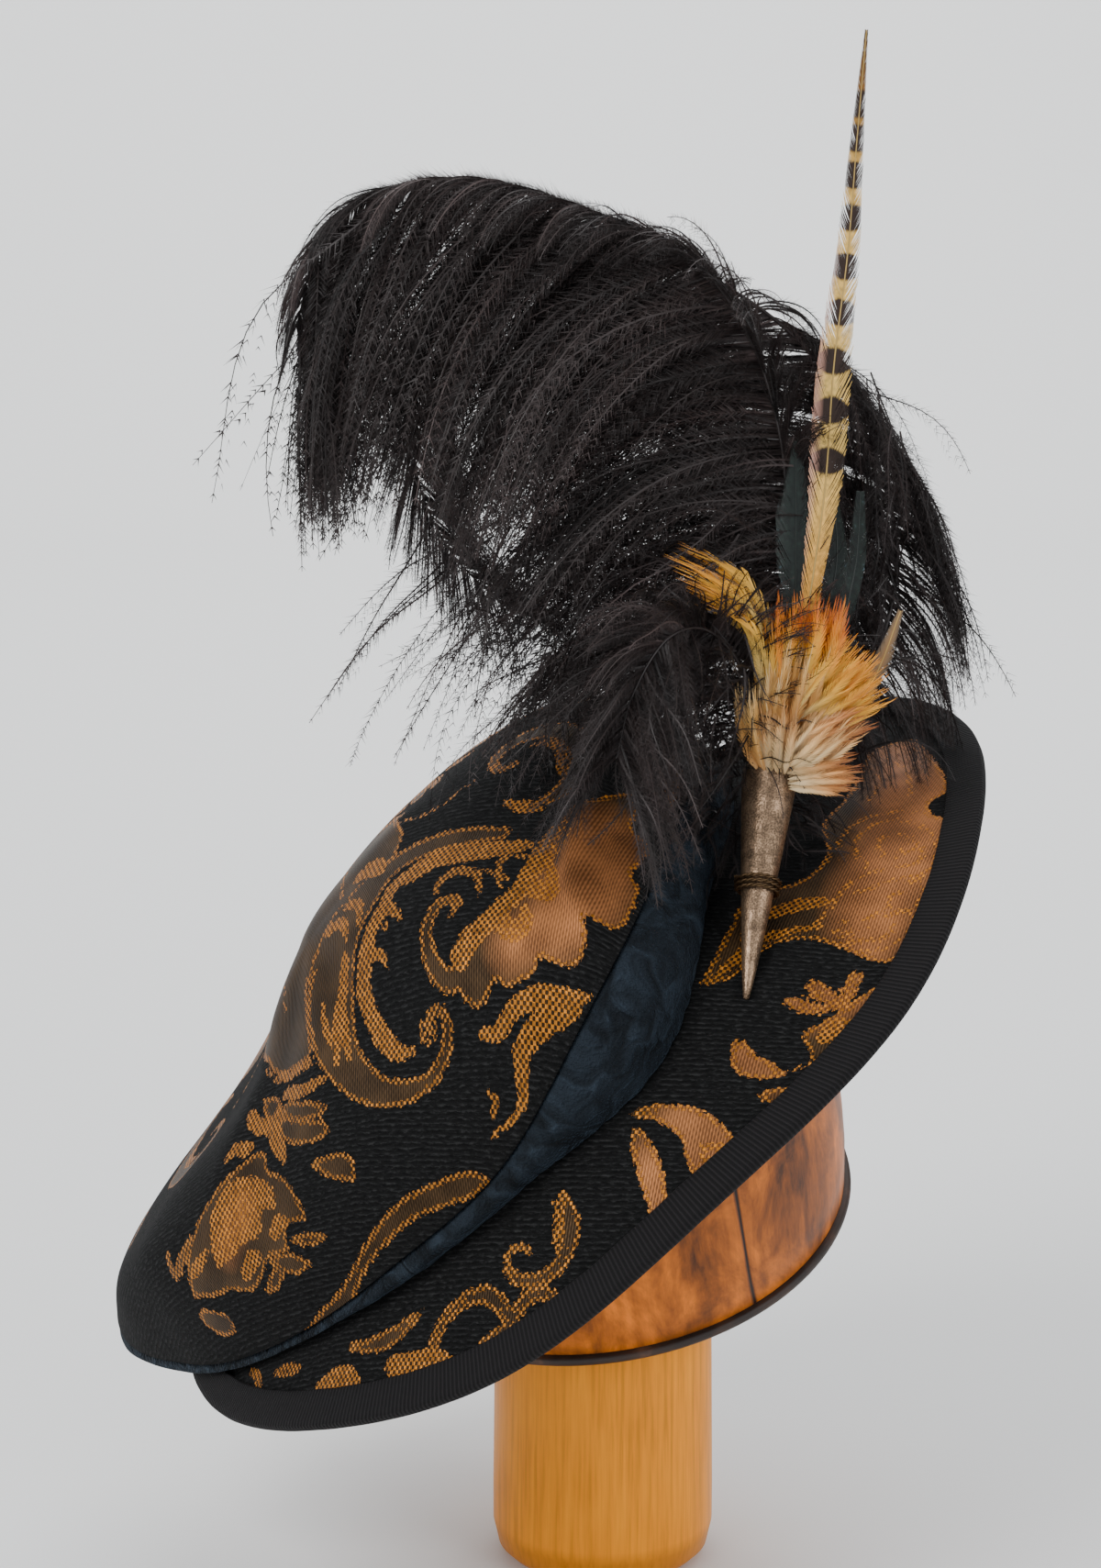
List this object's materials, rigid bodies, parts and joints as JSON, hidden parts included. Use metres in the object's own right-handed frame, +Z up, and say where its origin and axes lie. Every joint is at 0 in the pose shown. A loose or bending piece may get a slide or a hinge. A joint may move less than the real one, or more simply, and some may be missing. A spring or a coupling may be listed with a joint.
{
  "type": "slouched tam o shanter hat with a brim, on a hat block with a bamboo stand",
  "caption": "Slouched brocade tam o shanter with a velvet band and bell brim, ostrich plumes and a feather bouquet in a leather cone, shown on a hat block and bamboo stand",
  "frame": {"origin": "centre of the underside of the bamboo stand's foot, on the surface it stands on", "axes": "+Z up along the bamboo stand; -Y towards the side that the picture shows; +X towards the brim's raised end and the feather bouquet"},
  "size_m": [0.3349, 0.3207, 0.602],
  "materials": {
    "brocade": "black chenille ground with bronze and gold satin figures",
    "velvet": "blue-black crushed velvet",
    "ribbon": "black grosgrain ribbon",
    "plume": "black-brown ostrich barbs",
    "pheasant": "straw-coloured feather with dark bars",
    "cock": "glossy green-black feather",
    "hackle": "gold, tan and rust hackle feathers",
    "bronze_leather": "metallic bronze leather",
    "wire": "dark twisted wire",
    "block_wood": "aged and polished",
    "plate_wood": "dark and worn",
    "bamboo": "golden, polished"
  },
  "bodies": {
    "root": {"crown_top": "brocade", "crown_band": "velvet", "brim": "brocade", "brim_binding": "ribbon", "plume_front": "plume", "plume_back": "plume", "plume_low": "plume", "pheasant_feather": "pheasant", "cock_feather_1": "cock", "cock_feather_2": "cock", "cock_feather_3": "cock", "tan_feather": "pheasant", "hackles": "hackle", "cone": "bronze_leather", "cone_wire": "wire", "hat_block": "block_wood", "block_plate": "plate_wood", "bamboo_stand": "bamboo"}
  },
  "joints": []
}
